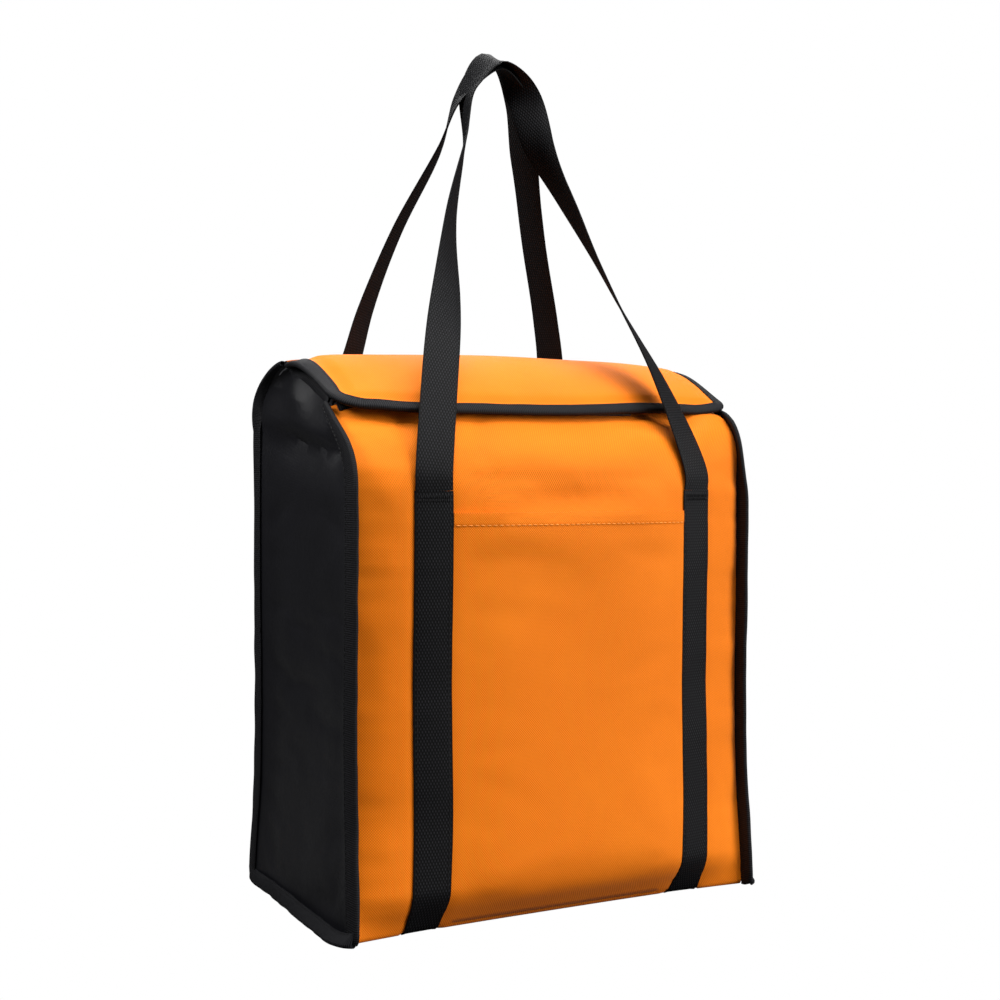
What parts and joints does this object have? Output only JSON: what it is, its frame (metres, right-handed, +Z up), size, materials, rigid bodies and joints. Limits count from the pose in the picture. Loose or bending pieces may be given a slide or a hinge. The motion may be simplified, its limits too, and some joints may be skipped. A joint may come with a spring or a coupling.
{
  "type": "cooler tote bag",
  "caption": "Insulated fabric shopping tote with a flap lid, a flat front pocket, bound corner seams and webbing bands that pass under the base and rise into carrying loops.",
  "frame": {"origin": "middle of the base, on the surface the bag stands on", "axes": "+Z up through the handles, +Y from the front panel to the back panel, +X from the left gusset to the right gusset as seen from the front"},
  "size_m": [0.3362, 0.2231, 0.6406],
  "materials": {
    "orange_oxford": "coated polyester oxford weave, matt with a soft sheen",
    "black_oxford": "coated polyester oxford weave, matt",
    "binding_tape": "ribbed binding tape, matt",
    "black_webbing": "woven polypropylene webbing, low sheen",
    "white_foam": "closed cell foam sheet, matt",
    "silver_foil": "metallised lining film, satin"
  },
  "bodies": {
    "root": {"outer_wrap": "orange_oxford", "front_pocket": "orange_oxford", "left_gusset": "black_oxford", "right_gusset": "black_oxford", "loop_strip": "binding_tape", "front_mouth_binding": "binding_tape", "left_seam_binding": "binding_tape", "left_mouth_binding": "binding_tape", "right_seam_binding": "binding_tape", "right_mouth_binding": "binding_tape", "left_webbing": "black_webbing", "right_webbing": "black_webbing", "front_foam": "white_foam", "base_foam": "white_foam", "back_foam": "white_foam", "left_gusset_foam": "white_foam", "right_gusset_foam": "white_foam", "wrap_lining": "silver_foil", "left_gusset_lining": "silver_foil", "right_gusset_lining": "silver_foil"},
    "lid": {"lid_panel": "orange_oxford", "lid_foam": "white_foam", "lid_lining": "silver_foil", "lid_binding": "binding_tape", "hook_strip": "binding_tape"},
    "front_handle": {"front_handle": "black_webbing"},
    "back_handle": {"back_handle": "black_webbing"}
  },
  "joints": [
    {"name": "lid_hinge", "type": "hinge", "parent": "root", "child": "lid", "pos_m": [0, 0.033, 0.395], "axis": [-1, 0, 0], "range_deg": [0, 150]},
    {"name": "front_handle_swing", "type": "hinge", "parent": "root", "child": "front_handle", "pos_m": [0, -0.1074, 0.30067], "axis": [1, 0, 0], "range_deg": [0, 150]},
    {"name": "back_handle_swing", "type": "hinge", "parent": "root", "child": "back_handle", "pos_m": [0, 0.1074, 0.30067], "axis": [-1, 0, 0], "range_deg": [0, 150]}
  ],
  "couplings": [
    {"joint": "front_handle_swing", "follows": "lid_hinge", "ratio": 1},
    {"joint": "back_handle_swing", "follows": "lid_hinge", "ratio": 1}
  ]
}
